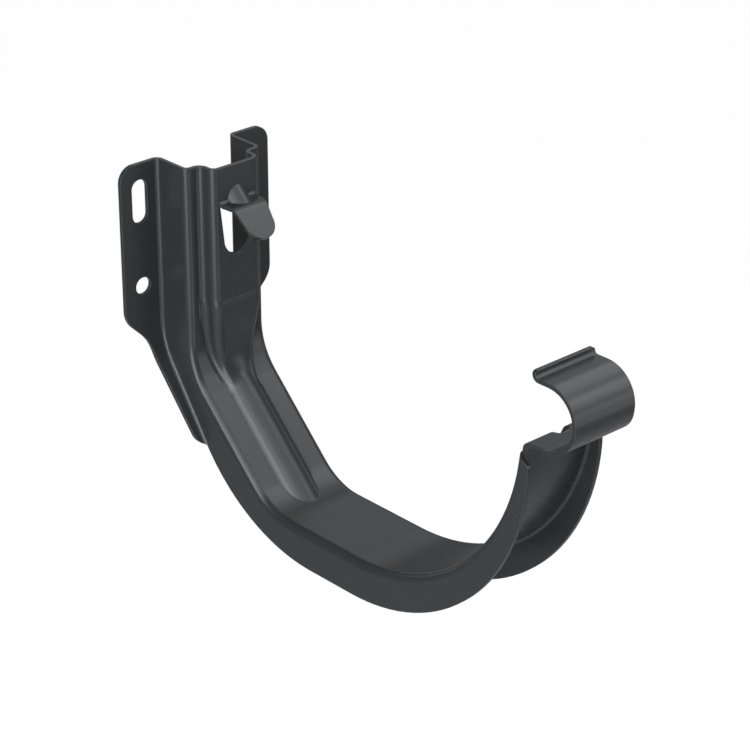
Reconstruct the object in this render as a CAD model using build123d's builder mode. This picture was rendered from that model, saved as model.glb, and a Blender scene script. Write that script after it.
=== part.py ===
from build123d import *
import math
import os

os.makedirs("parts", exist_ok=True)

# Sheet and its bends, in millimetres (radii are on the gutter side unless a name says back)
SHEET = 1.2
CORNER_RADIUS = 2.3
FOLD_RADIUS = 1.4
FOOT_RADIUS = 2.0
PANEL_CREST_RADIUS = 2.7
RIB_CREST_RADIUS = 2.2

# Wall flanges and their lips, seen from the front
FLANGE_SPAN = 56.3
FLANGE_TOP = 39.0
FLANGE_CORNER_RADIUS = 5.0
SHOULDER_DROP = 10.15
SHOULDER_RADIUS = 8.0
LIP_SLANT = 45.0
LIP_TOP_WIDTH = 5.2
LIP_TOP_RADIUS = 10.0
LIP_END_WIDTH = 2.8
LIP_END_DROP = 46.7
LIP_END_RADIUS = 3.0
LIP_RUNOUT = 2.3

# Fixing holes and slots in the flanges
HOLE_SPACING = 42.4
HOLE_DIAMETER = 5.5
SLOT_SPACING = 42.6
SLOT_RISE = 27.1
SLOT_LENGTH = 13.8
SLOT_WIDTH = 5.6

# Channel web, seen from the side
CHANNEL_WIDTH = 28.8
WEB_OFFSET = 14.5
INCLINE_ANGLE = 44.3
INCLINE_START_DROP = 26.1
UPPER_BEND_RADIUS = 19.8
LOWER_BEND_RADIUS = 20.4
TROUGH_DROP = 60.2
TROUGH_END = 85.5
SEAT_RADIUS = 65.6
SEAT_END_DROP = 4.07
WEB_END_DROP = 0.9

# Back edges of the side walls, seen from the side
BACK_START_DROP = 20.8
BACK_ANGLE = 55.0
BACK_BEND_RADIUS = 20.0
EDGE_INSET = 1.1
HEEL_RADIUS = 57.7
WALL_DEPTH = 12.0
TOE_DEPTH = 4.1
TOE_END_DROP = 6.8
TOE_SHOULDER_RISE = 3.4
TOE_SHOULDER_RADIUS = 1.6

# Raised panel and the rib it runs into
PANEL_HALF_WIDTH = 9.1
PANEL_HEIGHT = 5.8
PANEL_CROWN = 0.05
PANEL_FLANK = 90.0
RIB_HALF_WIDTH = 4.5
RIB_HEIGHT = 1.4
RIB_CROWN = 1.6
RIB_FLANK = 50.0
NARROWING_START = 42.0
NARROWING_END = 76.0
SINKING_START = 47.0
NARROWING_STEPS = 4

# Window in the panel and the tongue bent out of it
WINDOW_TOP = 27.9
WINDOW_TOP_HALF_WIDTH = 6.7
WINDOW_FOOT_HALF_WIDTH = 5.25
WINDOW_LENGTH = 17.1
TONGUE_ROOT_RADIUS = 1.0
TONGUE_REACH = 4.4
TONGUE_BEND_RADIUS = 3.3
TONGUE_TURN = 47.0
TONGUE_TIP_LENGTH = 9.8
TONGUE_CLEARANCE = 0.1
TONGUE_DART_RADIUS = 3.9
TONGUE_DART_HEIGHT = 3.2

# Bead hook at the front
HOOK_WIDTH = 22.5
HOOK_CREST_WIDTH = 24.4
HOOK_TAPER_RISE = 9.0
HOOK_CREST_RADIUS = 2.5
HOOK_STRIP_RISE = 2.2
BEAD_RADIUS = 8.9
BEAD_REACH = 7.47
HOOK_TOP_STRAIGHT = 3.8
CURL_RADIUS = 2.2
CURL_TURN = 90.0
CURL_TIP_LENGTH = 0.9
CURL_TIP_RADIUS = 1.1
CREST_DART_RADIUS = 3.0
CREST_DART_DEPTH = 2.9
CREST_DART_REACH = 7.5

# Small overlaps that let pieces meet at a clear angle
BITE = 0.05
OVERRUN = 1.0
TOUCHING = 0.01


def cosd(angle):
    return math.cos(math.radians(angle))


def sind(angle):
    return math.sin(math.radians(angle))


def tand(angle):
    return math.tan(math.radians(angle))


def follow(start, heading, legs, depth=0.0):
    """Straight legs (length, 0) and bends (radius, turn) laid end to end, moved depth to the left."""
    x = start[0] + depth * cosd(heading + 90)
    y = start[1] + depth * sind(heading + 90)
    pieces = []
    for size, turn in legs:
        if turn == 0:
            end = (x + size * cosd(heading), y + size * sind(heading))
            pieces.append([(x, y), end])
        else:
            side = 1 if turn > 0 else -1
            radius = size - side * depth
            centre = (x + radius * cosd(heading + 90 * side), y + radius * sind(heading + 90 * side))
            spoke = heading - 90 * side
            points = []
            for share in (0.0, 0.5, 1.0):
                angle = spoke + turn * share
                points.append((centre[0] + radius * cosd(angle), centre[1] + radius * sind(angle)))
            pieces.append(points)
            end = points[-1]
            heading = heading + turn
        x, y = end
    return pieces


def draw(pieces):
    """Draws the pieces given by follow in the current line."""
    for points in pieces:
        if len(points) == 2:
            Line(points[0], points[1])
        else:
            ThreePointArc(points[0], points[1], points[2])


# Lengths of the straight legs between the bends of the web
upper_turn = 90 - INCLINE_ANGLE
upper_tangent = UPPER_BEND_RADIUS * tand(upper_turn / 2)
lower_tangent = LOWER_BEND_RADIUS * tand(INCLINE_ANGLE / 2)
incline_vertex_length = (TROUGH_DROP - INCLINE_START_DROP) / sind(INCLINE_ANGLE)
trough_start = WEB_OFFSET + (TROUGH_DROP - INCLINE_START_DROP) / tand(INCLINE_ANGLE) + lower_tangent
web_drop_length = FLANGE_TOP + INCLINE_START_DROP - upper_tangent
seat_turn = math.degrees(math.acos(1 - (TROUGH_DROP - SEAT_END_DROP) / SEAT_RADIUS))
incline_length = incline_vertex_length - upper_tangent - lower_tangent
seat_legs = [
    (web_drop_length, 0),
    (UPPER_BEND_RADIUS, -upper_turn),
    (incline_length, 0),
    (LOWER_BEND_RADIUS, -INCLINE_ANGLE),
    (TROUGH_END - trough_start, 0),
    (SEAT_RADIUS, -seat_turn),
]

# Short straight at the front of the web, up to the crest of the hook
lean = 90 - seat_turn
seat_end_reach = TROUGH_END + SEAT_RADIUS * sind(seat_turn)
front_heading = 180 - seat_turn
crest_tangent = HOOK_CREST_RADIUS * tand(seat_turn / 2)
front_vertex_length = (HOOK_STRIP_RISE + SEAT_END_DROP) / cosd(lean)
front_vertex_reach = seat_end_reach + front_vertex_length * sind(lean)
web_end_length = (SEAT_END_DROP - WEB_END_DROP) / cosd(lean)

# Back edge of the side walls
back_turn = 90 - BACK_ANGLE
back_tangent = BACK_BEND_RADIUS * tand(back_turn / 2)
heel_outer_radius = HEEL_RADIUS + EDGE_INSET
heel_tangent = heel_outer_radius * tand(BACK_ANGLE / 2)
slope_drop = TROUGH_DROP + WALL_DEPTH + EDGE_INSET - BACK_START_DROP
heel_end = slope_drop / tand(BACK_ANGLE) + heel_tangent
back_slope_length = slope_drop / sind(BACK_ANGLE) - back_tangent - heel_tangent
back_legs = [
    (FLANGE_TOP + BACK_START_DROP - back_tangent, 0),
    (BACK_BEND_RADIUS, -back_turn),
    (back_slope_length, 0),
]
toe_radius = SEAT_RADIUS + TOE_DEPTH
toe_turn = math.degrees(math.acos(1 - (TROUGH_DROP + WALL_DEPTH - TOE_END_DROP) / toe_radius))
heel_legs = [
    (heel_outer_radius, -BACK_ANGLE),
    (TROUGH_END - heel_end, 0),
    (toe_radius + EDGE_INSET, -toe_turn),
]
lip_legs = [(heel_outer_radius, -BACK_ANGLE / 6)]

web_top = (-WEB_OFFSET, FLANGE_TOP)
back_top = (0.0, FLANGE_TOP)
downward = 270
half_channel = CHANNEL_WIDTH / 2
half_inside = half_channel - SHEET


def along_line(part, pieces, half_width):
    """The edges of a part that run beside the given pieces at half_width from its middle plane."""
    middles = []
    for points in pieces:
        if len(points) == 3:
            middles.append(Vector(0, *points[1]))
        else:
            middles.append((Vector(0, *points[0]) + Vector(0, *points[1])) * 0.5)
    found = ShapeList()
    for edge in part.edges():
        centre = edge @ 0.5
        beside = abs(abs(centre.X) - half_width) < TOUCHING
        near = [m for m in middles if (m - Vector(0, centre.Y, centre.Z)).length < TOUCHING]
        if beside and near:
            found.append(edge)
    return found


# The channel as a solid bar, closed at its back, before it is hollowed out
web_line = follow(web_top, downward, seat_legs + [(web_end_length, 0)])
skirt_line = follow(back_top, downward, back_legs + heel_legs, -EDGE_INSET)
web_end = web_line[-1][-1]
toe = skirt_line[-1][-1]
toe_shoulder = (toe[0], toe[1] + TOE_SHOULDER_RISE)
with BuildPart() as channel_bar:
    with BuildSketch(Plane.YZ):
        with BuildLine():
            draw(web_line)
            FilletPolyline(web_end, toe_shoulder, toe, radius=TOE_SHOULDER_RADIUS)
            draw(skirt_line)
            Line(skirt_line[0][0], web_top)
        make_face()
    extrude(amount=half_channel, both=True)
    fillet(along_line(channel_bar, web_line, half_channel), radius=CORNER_RADIUS)

# The hollow of the channel, one sheet thickness inside the web and the side walls
rim_leg = (web_drop_length + OVERRUN, 0)
above_rim = (-WEB_OFFSET, FLANGE_TOP + OVERRUN)
hollow_legs = [rim_leg] + seat_legs[1:] + [(web_end_length + 3 * OVERRUN, 0)]
hollow_line = follow(above_rim, downward, hollow_legs, SHEET)
hollow_top = hollow_line[0][0]
hollow_end = hollow_line[-1][-1]
far_front = toe[0] - 3 * OVERRUN
far_bottom = -TROUGH_DROP - WALL_DEPTH - 3 * OVERRUN
with BuildPart() as hollow:
    with BuildSketch(Plane.YZ):
        with BuildLine():
            draw(hollow_line)
            Polyline(
                hollow_end,
                (far_front, hollow_end[1]),
                (far_front, far_bottom),
                (OVERRUN, far_bottom),
                (OVERRUN, hollow_top[1]),
                hollow_top,
            )
        make_face()
    extrude(amount=half_inside, both=True)
    fillet(along_line(hollow, hollow_line, half_inside), radius=CORNER_RADIUS - SHEET)


def web_plane(station):
    """Plane square to the web at a length down it, with its y axis pointing into the gutter."""
    bend_start = web_drop_length
    bend_end = bend_start + UPPER_BEND_RADIUS * math.radians(upper_turn)
    if station <= bend_start:
        turned = 0.0
        y = -WEB_OFFSET
        z = FLANGE_TOP - station
    else:
        turned = min(math.degrees((station - bend_start) / UPPER_BEND_RADIUS), upper_turn)
        beyond = max(station - bend_end, 0.0)
        y = -WEB_OFFSET - UPPER_BEND_RADIUS * (1 - cosd(turned)) - beyond * sind(turned)
        z = FLANGE_TOP - bend_start - UPPER_BEND_RADIUS * sind(turned) - beyond * cosd(turned)
    along = (0, -sind(turned), -cosd(turned))
    return Plane(origin=(0, y, z), x_dir=(1, 0, 0), z_dir=along)


def blend(station, start, end):
    """Smooth step from 0 at start to 1 at end."""
    share = min(max((station - start) / (end - start), 0.0), 1.0)
    return share * share * (3 - 2 * share)


def section_corners(corners, x, y):
    """The two corners of a section that lie at the given distances from its middle."""
    return [c for c in corners if abs(abs(c.X) - x) < TOUCHING and abs(c.Y - y) < TOUCHING]


def raised_section(station, depth):
    """Outline of the raised panel or rib at a length down the web, moved depth into the sheet."""
    narrow = blend(station, NARROWING_START, NARROWING_END)
    sink = blend(station, SINKING_START, NARROWING_END)
    half_width = PANEL_HALF_WIDTH + (RIB_HALF_WIDTH - PANEL_HALF_WIDTH) * narrow
    height = PANEL_HEIGHT + (RIB_HEIGHT - PANEL_HEIGHT) * sink
    flank = PANEL_FLANK + (RIB_FLANK - PANEL_FLANK) * sink
    crown = PANEL_CROWN + (RIB_CROWN - PANEL_CROWN) * sink
    crest = PANEL_CREST_RADIUS + (RIB_CREST_RADIUS - PANEL_CREST_RADIUS) * sink - depth
    foot = FOOT_RADIUS + depth
    foot_x = half_width + height / tand(flank) - depth * tand(flank / 2)
    slope = math.degrees(2 * math.atan2(crown, half_width))
    crest_x = half_width - depth * sind((flank + slope) / 2) / cosd((flank - slope) / 2)
    crest_y = height - depth * cosd((flank + slope) / 2) / cosd((flank - slope) / 2)
    base = -depth - BITE
    floor = base - SHEET / 2
    skirt = half_width + height / tand(flank) + FOOT_RADIUS + BITE
    with BuildSketch(web_plane(station)) as section:
        with BuildLine():
            Polyline(
                (foot_x + BITE / tand(flank), base),
                (skirt, base),
                (skirt, floor),
                (-skirt, floor),
                (-skirt, base),
                (-foot_x - BITE / tand(flank), base),
            )
            Line((foot_x + BITE / tand(flank), base), (crest_x, crest_y))
            ThreePointArc((crest_x, crest_y), (0, height + crown - depth), (-crest_x, crest_y))
            Line((-crest_x, crest_y), (-foot_x - BITE / tand(flank), base))
        make_face()
        fillet(section_corners(section.vertices(), crest_x, crest_y), radius=crest)
        fillet(section_corners(section.vertices(), foot_x + BITE / tand(flank), base), radius=foot)
    return section.sketch


narrowing_stations = []
for step in range(NARROWING_STEPS + 1):
    share = step / NARROWING_STEPS
    narrowing_stations.append(NARROWING_START + (NARROWING_END - NARROWING_START) * share)
rib_end = web_drop_length + UPPER_BEND_RADIUS * math.radians(upper_turn) + incline_length
rib_end = rib_end + math.sqrt(2 * LOWER_BEND_RADIUS * (RIB_HEIGHT + RIB_CROWN)) + SHEET

# The raised panel and rib standing on the web
with BuildPart() as raised:
    extrude(raised_section(0.0, 0.0), amount=NARROWING_START)
    loft([raised_section(station, 0.0) for station in narrowing_stations])
    extrude(raised_section(NARROWING_END, 0.0), amount=rib_end - NARROWING_END)

# The hollow under the raised panel and rib
with BuildPart() as raised_hollow:
    extrude(raised_section(-OVERRUN, SHEET), amount=NARROWING_START + OVERRUN)
    loft([raised_section(station, SHEET) for station in narrowing_stations])
    extrude(raised_section(NARROWING_END, SHEET), amount=rib_end - NARROWING_END)

# The wall flanges and lips as one band along the back, with the fold to the side walls filled in
half_span = FLANGE_SPAN / 2
lip_top_x = half_channel + LIP_TOP_WIDTH
lip_top_z = -SHOULDER_DROP - (half_span - lip_top_x) * tand(LIP_SLANT)
lip_end_x = half_channel + LIP_END_WIDTH
flange_outline = [
    (half_span, FLANGE_TOP),
    (half_span, -SHOULDER_DROP),
    (lip_top_x, lip_top_z),
    (lip_end_x, -LIP_END_DROP),
    (half_inside, -LIP_END_DROP - LIP_RUNOUT),
]
flange_radii = [FLANGE_CORNER_RADIUS, SHOULDER_RADIUS, LIP_TOP_RADIUS, LIP_END_RADIUS, 0]
lip_line = follow(back_top, downward, back_legs + lip_legs)
lip_face = follow(back_top, downward, back_legs + lip_legs, -SHEET)
with BuildPart() as flanges:
    with BuildSketch(Plane.YZ):
        with BuildLine():
            draw(lip_line)
            Line(lip_line[-1][-1], lip_face[-1][-1])
            draw(lip_face)
            Line(lip_face[0][0], back_top)
        make_face()
    extrude(amount=half_span, both=True)
    with BuildLine(Plane.YZ) as fold_path:
        draw(lip_line)
    fold_x = half_channel - BITE
    fold_y = -SHEET + BITE
    bend_x = fold_x + FOLD_RADIUS
    bend_y = fold_y - FOLD_RADIUS
    for side in (1, -1):
        with BuildSketch(Plane.XY.offset(FLANGE_TOP)):
            with BuildLine():
                ThreePointArc(
                    (side * bend_x, fold_y),
                    (side * (bend_x - FOLD_RADIUS * cosd(45)), bend_y + FOLD_RADIUS * sind(45)),
                    (side * fold_x, bend_y),
                )
                Polyline(
                    (side * fold_x, bend_y),
                    (side * (fold_x - SHEET / 3), bend_y),
                    (side * (fold_x - SHEET / 3), -SHEET / 2),
                    (side * bend_x, -SHEET / 2),
                    (side * bend_x, fold_y),
                )
            make_face()
        sweep(path=fold_path.wire())
    with BuildSketch(Plane.XZ.offset(-OVERRUN)):
        with BuildLine():
            mirrored = [(-x, z) for x, z in reversed(flange_outline)]
            FilletPolyline(
                flange_outline + mirrored,
                radius=flange_radii + list(reversed(flange_radii)),
                close=True,
            )
        make_face()
    extrude(amount=WEB_OFFSET * 3, mode=Mode.INTERSECT)

# Rounds the outside of the fold between a flange and its side wall
with BuildPart() as fold_rounds:
    with BuildLine(Plane.YZ) as round_path:
        draw(lip_line)
    back_radius = FOLD_RADIUS + SHEET
    centre_x = half_inside + back_radius - BITE
    centre_y = -back_radius + BITE
    for side in (1, -1):
        with BuildSketch(Plane.XY.offset(FLANGE_TOP)):
            with BuildLine():
                ThreePointArc(
                    (side * (centre_x - back_radius), centre_y),
                    (side * (centre_x - back_radius * cosd(45)), centre_y + back_radius * sind(45)),
                    (side * centre_x, centre_y + back_radius),
                )
                Polyline(
                    (side * centre_x, centre_y + back_radius),
                    (side * centre_x, OVERRUN),
                    (side * (half_inside - OVERRUN), OVERRUN),
                    (side * (half_inside - OVERRUN), centre_y),
                    (side * (centre_x - back_radius), centre_y),
                )
            make_face()
        sweep(path=round_path.wire())

# The bead hook, from the front of the web over its crest and round the bead
hook_legs = [
    (front_vertex_length - crest_tangent, 0),
    (HOOK_CREST_RADIUS, seat_turn),
    (BEAD_REACH - crest_tangent, 0),
    (BEAD_RADIUS, -180),
    (HOOK_TOP_STRAIGHT, 0),
    (CURL_RADIUS, CURL_TURN),
    (CURL_TIP_LENGTH, 0),
]
seat_end = follow(web_top, downward, seat_legs)[-1][-1]
hook_face = follow(seat_end, front_heading, hook_legs)
hook_back = follow(seat_end, front_heading, hook_legs, SHEET)
hook_outline = [
    (HOOK_CREST_WIDTH / 2, hook_face[0][0][1] - OVERRUN),
    (HOOK_CREST_WIDTH / 2, HOOK_STRIP_RISE),
    (HOOK_WIDTH / 2, HOOK_TAPER_RISE),
    (HOOK_WIDTH / 2, hook_face[-1][-1][1]),
]
hook_radii = [0, HOOK_TAPER_RISE, HOOK_TAPER_RISE, CURL_TIP_RADIUS]
with BuildPart() as hook:
    with BuildSketch(Plane.YZ):
        with BuildLine():
            draw(hook_face)
            Line(hook_face[-1][-1], hook_back[-1][-1])
            draw(hook_back)
            Line(hook_back[0][0], hook_face[0][0])
        make_face()
    extrude(amount=HOOK_CREST_WIDTH / 2, both=True)
    with BuildSketch(Plane.XZ.offset(front_vertex_reach - WEB_OFFSET)):
        with BuildLine():
            FilletPolyline(
                hook_outline + [(-x, z) for x, z in reversed(hook_outline)],
                radius=hook_radii + list(reversed(hook_radii)),
                close=True,
            )
        make_face()
    extrude(amount=WEB_OFFSET + BEAD_REACH + 2 * BEAD_RADIUS, mode=Mode.INTERSECT)


def dart_plane(corner, heading, offset):
    """Plane square to a dart that cuts a corner at a heading, moved to the left of that heading."""
    y = corner[0] + offset * cosd(heading + 90)
    z = corner[1] + offset * sind(heading + 90)
    return Plane(origin=(0, y, z), x_dir=(1, 0, 0), z_dir=(0, cosd(heading), sind(heading)))


# The dart pressed into the crest of the hook: its groove, and its bulge under the strip
crest_vertex = (-front_vertex_reach, HOOK_STRIP_RISE)
crest_heading = front_heading + seat_turn / 2
crest_dart_plane = dart_plane(crest_vertex, crest_heading, CREST_DART_DEPTH - CREST_DART_RADIUS)
crest_middle = follow(seat_end, front_heading, hook_legs[:3], SHEET / 2)
with BuildPart() as crest_groove:
    with BuildSketch(crest_dart_plane):
        Circle(CREST_DART_RADIUS)
    extrude(amount=CREST_DART_REACH, both=True)
with BuildPart() as crest_bulge:
    with BuildSketch(crest_dart_plane):
        Circle(CREST_DART_RADIUS + SHEET)
    extrude(amount=CREST_DART_REACH, both=True)
    with BuildSketch(Plane.YZ):
        with BuildLine():
            draw(crest_middle)
            Polyline(
                crest_middle[-1][-1],
                (crest_middle[-1][-1][0], crest_middle[0][0][1]),
                crest_middle[0][0],
            )
        make_face()
    extrude(amount=half_channel, both=True, mode=Mode.INTERSECT)

# The tongue bent out of the window, with a dart across its root
panel_face = -WEB_OFFSET - PANEL_HEIGHT
root_top = (panel_face, WINDOW_TOP + TONGUE_ROOT_RADIUS + OVERRUN)
tongue_legs = [
    (OVERRUN, 0),
    (TONGUE_ROOT_RADIUS, -90),
    (TONGUE_REACH - TONGUE_ROOT_RADIUS, 0),
    (TONGUE_BEND_RADIUS, TONGUE_TURN),
    (TONGUE_TIP_LENGTH, 0),
]
tongue_top = follow(root_top, downward, tongue_legs)
tongue_under = follow(root_top, downward, tongue_legs, SHEET)
tip = tongue_top[-1][-1]
tip_heading = 180 + TONGUE_TURN
tip_up = (0, cosd(tip_heading - 90), sind(tip_heading - 90))
tip_plane = Plane(origin=(0, tip[0], tip[1]), x_dir=(1, 0, 0), z_dir=tip_up)
tip_radius = WINDOW_FOOT_HALF_WIDTH - TONGUE_CLEARANCE
root_half_width = WINDOW_TOP_HALF_WIDTH - TONGUE_CLEARANCE
root_distance = TONGUE_TIP_LENGTH + (TONGUE_REACH + TONGUE_BEND_RADIUS) * cosd(TONGUE_TURN)
flare = (root_half_width - tip_radius) / (root_distance - tip_radius)
back_distance = 2 * TONGUE_TIP_LENGTH
back_half_width = tip_radius + flare * (back_distance - tip_radius)
root_corner = (panel_face, WINDOW_TOP)
root_dart_plane = dart_plane(root_corner, 225, TONGUE_DART_RADIUS - TONGUE_DART_HEIGHT)
root_middle = follow(root_top, downward, tongue_legs[:3], SHEET / 2)
with BuildPart() as tongue:
    with BuildSketch(Plane.YZ):
        with BuildLine():
            draw(tongue_top)
            Line(tongue_top[-1][-1], tongue_under[-1][-1])
            draw(tongue_under)
            Line(tongue_under[0][0], tongue_top[0][0])
        make_face()
    extrude(amount=WINDOW_TOP_HALF_WIDTH, both=True)
    with BuildSketch(tip_plane):
        with BuildLine():
            ThreePointArc((-tip_radius, tip_radius), (0, 0), (tip_radius, tip_radius))
            Polyline(
                (tip_radius, tip_radius),
                (back_half_width, back_distance),
                (-back_half_width, back_distance),
                (-tip_radius, tip_radius),
            )
        make_face()
    extrude(amount=back_distance, both=True, mode=Mode.INTERSECT)
with BuildPart() as root_bulge:
    with BuildSketch(root_dart_plane):
        Circle(TONGUE_DART_RADIUS)
    extrude(amount=2 * TONGUE_DART_HEIGHT, both=True)
    with BuildSketch(Plane.YZ):
        with BuildLine():
            draw(root_middle)
            Polyline(
                root_middle[-1][-1],
                (root_middle[-1][-1][0], root_top[1] + 2 * TONGUE_DART_HEIGHT),
                (root_middle[0][0][0], root_top[1] + 2 * TONGUE_DART_HEIGHT),
                root_middle[0][0],
            )
        make_face()
    extrude(amount=WINDOW_TOP_HALF_WIDTH, both=True, mode=Mode.INTERSECT)
with BuildPart() as root_dent:
    with BuildSketch(root_dart_plane):
        Circle(TONGUE_DART_RADIUS - SHEET)
    extrude(amount=2 * TONGUE_DART_HEIGHT, both=True)

# The whole bracket
window_head = WINDOW_TOP + TONGUE_ROOT_RADIUS
window_foot = WINDOW_TOP - WINDOW_LENGTH
with BuildPart() as gutter_bracket:
    add(channel_bar.part)
    add(raised.part)
    add(flanges.part)
    add(hollow.part, mode=Mode.SUBTRACT)
    add(raised_hollow.part, mode=Mode.SUBTRACT)
    add(fold_rounds.part, mode=Mode.SUBTRACT)
    add(hook.part)
    add(crest_bulge.part)
    add(crest_groove.part, mode=Mode.SUBTRACT)
    with BuildSketch(Plane.XZ.offset(-panel_face - 2 * SHEET)):
        with BuildLine():
            Polyline(
                (-WINDOW_FOOT_HALF_WIDTH, window_foot + WINDOW_FOOT_HALF_WIDTH),
                (-WINDOW_TOP_HALF_WIDTH, window_head),
                (WINDOW_TOP_HALF_WIDTH, window_head),
                (WINDOW_FOOT_HALF_WIDTH, window_foot + WINDOW_FOOT_HALF_WIDTH),
            )
            ThreePointArc(
                (WINDOW_FOOT_HALF_WIDTH, window_foot + WINDOW_FOOT_HALF_WIDTH),
                (0, window_foot),
                (-WINDOW_FOOT_HALF_WIDTH, window_foot + WINDOW_FOOT_HALF_WIDTH),
            )
        make_face()
    extrude(amount=3 * SHEET, mode=Mode.SUBTRACT)
    add(tongue.part)
    add(root_bulge.part)
    add(root_dent.part, mode=Mode.SUBTRACT)
    with BuildSketch(Plane.XZ.offset(-OVERRUN)):
        with Locations((-HOLE_SPACING / 2, 0), (HOLE_SPACING / 2, 0)):
            Circle(HOLE_DIAMETER / 2)
        with Locations((-SLOT_SPACING / 2, SLOT_RISE), (SLOT_SPACING / 2, SLOT_RISE)):
            SlotOverall(SLOT_LENGTH, SLOT_WIDTH, rotation=90)
    extrude(amount=2 * OVERRUN + SHEET, mode=Mode.SUBTRACT)

gutter_bracket.part.label = "gutter_bracket"
export_step(gutter_bracket.part, "parts/gutter_bracket.step")
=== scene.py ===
import math

import bpy
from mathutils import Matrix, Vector


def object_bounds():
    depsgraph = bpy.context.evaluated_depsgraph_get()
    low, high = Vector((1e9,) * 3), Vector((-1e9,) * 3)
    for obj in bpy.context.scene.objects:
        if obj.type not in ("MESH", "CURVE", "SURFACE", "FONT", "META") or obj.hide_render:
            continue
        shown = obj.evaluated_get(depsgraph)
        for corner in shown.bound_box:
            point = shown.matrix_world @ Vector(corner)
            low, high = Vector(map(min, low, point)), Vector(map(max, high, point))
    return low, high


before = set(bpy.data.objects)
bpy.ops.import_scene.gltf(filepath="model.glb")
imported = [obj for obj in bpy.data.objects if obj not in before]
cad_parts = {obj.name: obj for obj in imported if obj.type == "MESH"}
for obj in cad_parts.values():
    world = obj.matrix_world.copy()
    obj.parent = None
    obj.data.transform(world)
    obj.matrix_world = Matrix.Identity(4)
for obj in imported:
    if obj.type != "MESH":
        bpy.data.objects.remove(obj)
cad_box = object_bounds()
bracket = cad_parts["gutter_bracket"]

# Camera, fitted to the photograph with the fixing holes on the row's origin
CAMERA_PLACE = (-0.46813, -0.59067, 0.32969)
CAMERA_AZIMUTH = -42.519
CAMERA_ELEVATION = 26.001
CAMERA_LENS = 129.9
CAMERA_CLIP = (0.01, 100)
SENSOR_WIDTH = 36.0

# Floor and world
FLOOR_DROP = 0.6
FLOOR_SIZE = 6.0
FLOOR_COLOUR = (0.6, 0.6, 0.6, 1)
GLOW_SHARE = 0.8  # how much of the floor the camera sees as plain white
GLOW_STRENGTH = 1.22
SHINE_SHARE = 0.12  # how much of the white floor and sky mirror rays see
WHITE = (1, 1, 1, 1)
WHITE_STRENGTH = 1.0
WORLD_STRENGTH = 0.04

# Lamps, each with its azimuth, elevation, size and power
LAMP_DISTANCE = 1.2
OBJECT_MIDDLE = (0, -0.08, -0.02)
LAMPS = {
    "left_low": (-65, -2, 0.8, 8.4),
    "left": (-80, 22, 0.6, 5.6),
    "left_high": (-50, 42, 0.6, 3.8),
    "front_low": (-4, -27, 0.22, 0.8),
    "front_high": (-5, 55, 0.6, 1.9),
    "front_right": (45, 12, 0.5, 0.6),
    "overhead_front": (50, 47, 0.65, 1.8),
    "overhead_right": (100, 47, 0.8, 1.3),
    "right": (85, 0, 0.6, 0.6),
    "back_right": (137, 27, 0.5, 0.4),
    "back": (175, 8, 0.8, 1.6),
}
HOOK_LAMP_DISTANCE = 0.35
HOOK_MIDDLE = (0, -0.165, 0.01)
HOOK_LAMPS = {
    "hook_front": (42, -4, 0.2, 0.12),
    "hook_high": (48, 33, 0.14, 0.13),
    "hook_top": (105, 52, 0.2, 0.16),
}

# Powder paint: anthracite, satin, with a fine grain
PAINT_DARK = (0.024, 0.029, 0.032, 1)
PAINT_LIGHT = (0.029, 0.034, 0.037, 1)
# Paler colour painted on the edges as a highlight
PAINT_EDGE_HIGHLIGHT = (0.070, 0.077, 0.082, 1)
PAINT_ROUGHNESS = 0.28
GRAIN_SCALE = 1200.0
GRAIN_DETAIL = 2.0
GRAIN_COLOUR_SHARE = 0.6
GRAIN_HEIGHT_SHARE = 0.7
GRAIN_ROUGHNESS = 0.02
GRAIN_STRENGTH = 0.006
GRAIN_HEIGHT = 0.00005
MOTTLE_SCALE = 60.0
MOTTLE_DETAIL = 3.0
MOTTLE_COLOUR_SHARE = 0.4
MOTTLE_HEIGHT_SHARE = 0.3
MOTTLE_ROUGHNESS = 0.04
NOISE_MIDDLE = 0.5

# Rounded edges, with a painted highlight: a paler colour mixed in on the edges
EDGE_ROUND = 0.00035
EDGE_SAMPLES = 6
EDGE_START = 0.97  # cosine between the rounded and the true normal
EDGE_FULL = 0.80
EDGE_HIGHLIGHT_SHARE = 0.8
EDGE_POLISH = 0.05

# Colour inputs of a Mix node, by number because its other inputs have the same names
MIX_FIRST_COLOUR = 6
MIX_SECOND_COLOUR = 7


class Socket:
    """A shader socket whose + - * build the Math nodes of the expression."""

    def __init__(self, shader, output):
        self.shader = shader
        self.output = output

    def math(self, operation, first, second):
        made = self.shader.add(
            "ShaderNodeMath", {"operation": operation}, {0: first, 1: second}
        )
        return made["Value"]

    def __add__(self, other):
        return self.math("ADD", self, other)

    def __radd__(self, other):
        return self.math("ADD", other, self)

    def __sub__(self, other):
        return self.math("SUBTRACT", self, other)

    def __rsub__(self, other):
        return self.math("SUBTRACT", other, self)

    def __mul__(self, other):
        return self.math("MULTIPLY", self, other)

    def __rmul__(self, other):
        return self.math("MULTIPLY", other, self)


class Shader:
    """A procedural material or world whose nodes are added one by one."""

    def __init__(self, owner):
        self.owner = owner
        self.owner.use_nodes = True
        self.tree = owner.node_tree
        self.tree.nodes.clear()

    def add(self, kind, settings=None, inputs=None):
        """Adds a node, sets it, fills or links its inputs and returns its outputs."""
        node = self.tree.nodes.new(kind)
        for name, value in (settings or {}).items():
            setattr(node, name, value)
        for name, value in (inputs or {}).items():
            if isinstance(value, Socket):
                self.tree.links.new(value.output, node.inputs[name])
            else:
                node.inputs[name].default_value = value
        return {
            output.name: Socket(self, output) for output in node.outputs if output.enabled
        }

    def noise(self, place, scale, detail):
        """The value of a noise at a place."""
        made = self.add(
            "ShaderNodeTexNoise", {}, {"Vector": place, "Scale": scale, "Detail": detail}
        )
        return made["Fac"]

    def mix(self, factor, first, second):
        """A colour between two others."""
        made = self.add(
            "ShaderNodeMix",
            {"data_type": "RGBA"},
            {"Factor": factor, MIX_FIRST_COLOUR: first, MIX_SECOND_COLOUR: second},
        )
        return made["Result"]


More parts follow.
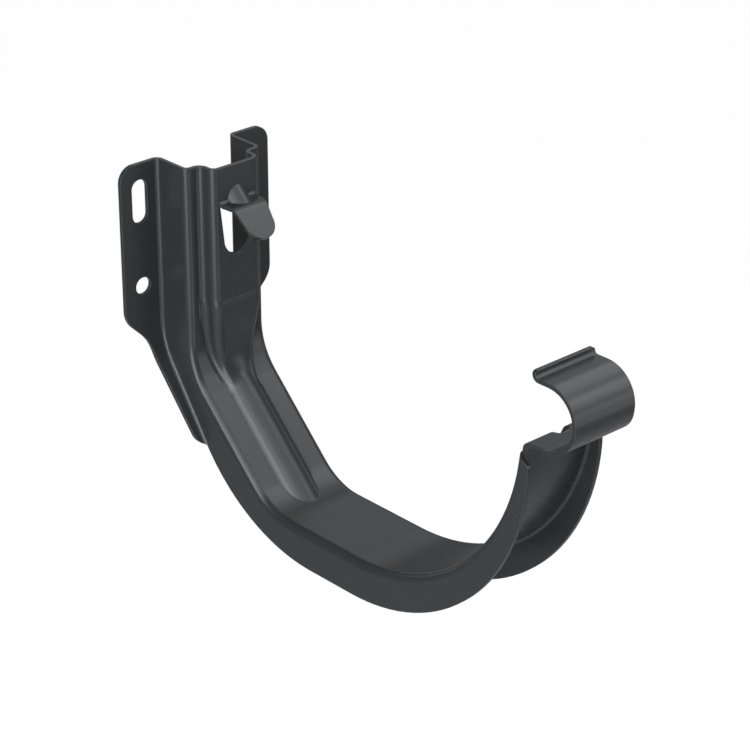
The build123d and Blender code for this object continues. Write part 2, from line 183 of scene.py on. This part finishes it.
def edge_mask(paint, rounded):
    """0 on flat paint and 1 on an edge, from how far the rounded normal leans."""
    true_normal = paint.add("ShaderNodeNewGeometry")["Normal"]
    facing = paint.add(
        "ShaderNodeVectorMath", {"operation": "DOT_PRODUCT"}, {0: rounded, 1: true_normal}
    )["Value"]
    return paint.add(
        "ShaderNodeMapRange",
        {"interpolation_type": "SMOOTHSTEP"},
        {"Value": facing, "From Min": EDGE_START, "From Max": EDGE_FULL},
    )["Result"]


def powder_paint():
    """Satin anthracite powder paint with fine grain, a soft mottle and a painted highlight of
    paler colour on the edges.
    """
    paint = Shader(bpy.data.materials.new("anthracite_paint"))
    place = paint.add("ShaderNodeTexCoord")["Object"]
    grain = paint.noise(place, GRAIN_SCALE, GRAIN_DETAIL)
    mottle = paint.noise(place, MOTTLE_SCALE, MOTTLE_DETAIL)
    rounded = paint.add(
        "ShaderNodeBevel", {"samples": EDGE_SAMPLES}, {"Radius": EDGE_ROUND}
    )["Normal"]
    edge = edge_mask(paint, rounded)

    shade = grain * GRAIN_COLOUR_SHARE + mottle * MOTTLE_COLOUR_SHARE
    body = paint.mix(shade, PAINT_DARK, PAINT_LIGHT)
    # Painted highlight: the colour turns paler towards the edges
    colour = paint.mix(edge * EDGE_HIGHLIGHT_SHARE, body, PAINT_EDGE_HIGHLIGHT)
    roughness = (
        PAINT_ROUGHNESS
        + (grain - NOISE_MIDDLE) * GRAIN_ROUGHNESS
        + (mottle - NOISE_MIDDLE) * MOTTLE_ROUGHNESS
        - edge * EDGE_POLISH
    )
    height = grain * GRAIN_HEIGHT_SHARE + mottle * MOTTLE_HEIGHT_SHARE
    bumped = paint.add(
        "ShaderNodeBump",
        {},
        {
            "Strength": GRAIN_STRENGTH,
            "Distance": GRAIN_HEIGHT,
            "Height": height,
            "Normal": rounded,
        },
    )["Normal"]
    surface = paint.add(
        "ShaderNodeBsdfPrincipled",
        {},
        {"Base Color": colour, "Roughness": roughness, "Normal": bumped},
    )["BSDF"]
    paint.add("ShaderNodeOutputMaterial", {}, {"Surface": surface})
    return paint.owner


def white_floor():
    """A pale floor that looks white to the camera and still takes a soft shadow."""
    floor = Shader(bpy.data.materials.new("white_floor"))
    rays = floor.add("ShaderNodeLightPath")
    diffuse = floor.add("ShaderNodeBsdfDiffuse", {}, {"Color": FLOOR_COLOUR})["BSDF"]
    glow = floor.add(
        "ShaderNodeEmission", {}, {"Color": WHITE, "Strength": GLOW_STRENGTH}
    )["Emission"]
    mirrored = rays["Is Glossy Ray"] + rays["Is Transmission Ray"]
    seen = rays["Is Camera Ray"] * GLOW_SHARE + mirrored * SHINE_SHARE
    surface = floor.add("ShaderNodeMixShader", {}, {0: seen, 1: diffuse, 2: glow})["Shader"]
    floor.add("ShaderNodeOutputMaterial", {}, {"Surface": surface})
    return floor.owner


def add_floor():
    low = cad_box[0].z - FLOOR_DROP
    bpy.ops.mesh.primitive_plane_add(size=FLOOR_SIZE, location=(0, 0, low))
    floor = bpy.context.object
    floor.name = "floor"
    floor.data.materials.append(white_floor())


def add_lamp(name, target, distance, azimuth, elevation, size, power):
    """A soft square lamp that stands off in a direction from its target and faces it.

    Azimuth and elevation are in degrees, and azimuth 0 is in front and 90 on the right.
    """
    turn, lift = math.radians(azimuth), math.radians(elevation)
    level = math.cos(lift)
    away = Vector((math.sin(turn) * level, -math.cos(turn) * level, math.sin(lift)))
    data = bpy.data.lights.new(name, "AREA")
    data.shape = "SQUARE"
    data.size = size
    data.energy = power
    lamp = bpy.data.objects.new(name, data)
    lamp.location = Vector(target) + away * distance
    lamp.rotation_euler = (-away).to_track_quat("-Z", "Y").to_euler()
    bpy.context.scene.collection.objects.link(lamp)


def set_world():
    """A dim even light all round, which looks white to the camera."""
    sky = Shader(bpy.data.worlds.new("studio"))
    bpy.context.scene.world = sky.owner
    rays = sky.add("ShaderNodeLightPath")
    dim, white = (
        sky.add("ShaderNodeBackground", {}, {"Color": WHITE, "Strength": strength})["Background"]
        for strength in (WORLD_STRENGTH, WHITE_STRENGTH)
    )
    mirrored = rays["Is Glossy Ray"] + rays["Is Transmission Ray"]
    seen = rays["Is Camera Ray"] + mirrored * SHINE_SHARE
    light = sky.add("ShaderNodeMixShader", {}, {0: seen, 1: dim, 2: white})["Shader"]
    sky.add("ShaderNodeOutputWorld", {}, {"Surface": light})


def add_camera():
    data = bpy.data.cameras.new("camera")
    data.sensor_width = SENSOR_WIDTH
    data.lens = CAMERA_LENS
    data.clip_start, data.clip_end = CAMERA_CLIP
    camera = bpy.data.objects.new("camera", data)
    camera.location = CAMERA_PLACE
    tilt = 90 - CAMERA_ELEVATION
    camera.rotation_euler = (math.radians(tilt), 0, math.radians(CAMERA_AZIMUTH))
    bpy.context.scene.collection.objects.link(camera)
    bpy.context.scene.camera = camera


bracket.data.materials.clear()
bracket.data.materials.append(powder_paint())
add_floor()
for name, settings in LAMPS.items():
    add_lamp(name, OBJECT_MIDDLE, LAMP_DISTANCE, *settings)
for name, settings in HOOK_LAMPS.items():
    add_lamp(name, HOOK_MIDDLE, HOOK_LAMP_DISTANCE, *settings)
set_world()
add_camera()
bpy.context.scene.view_settings.view_transform = "Standard"
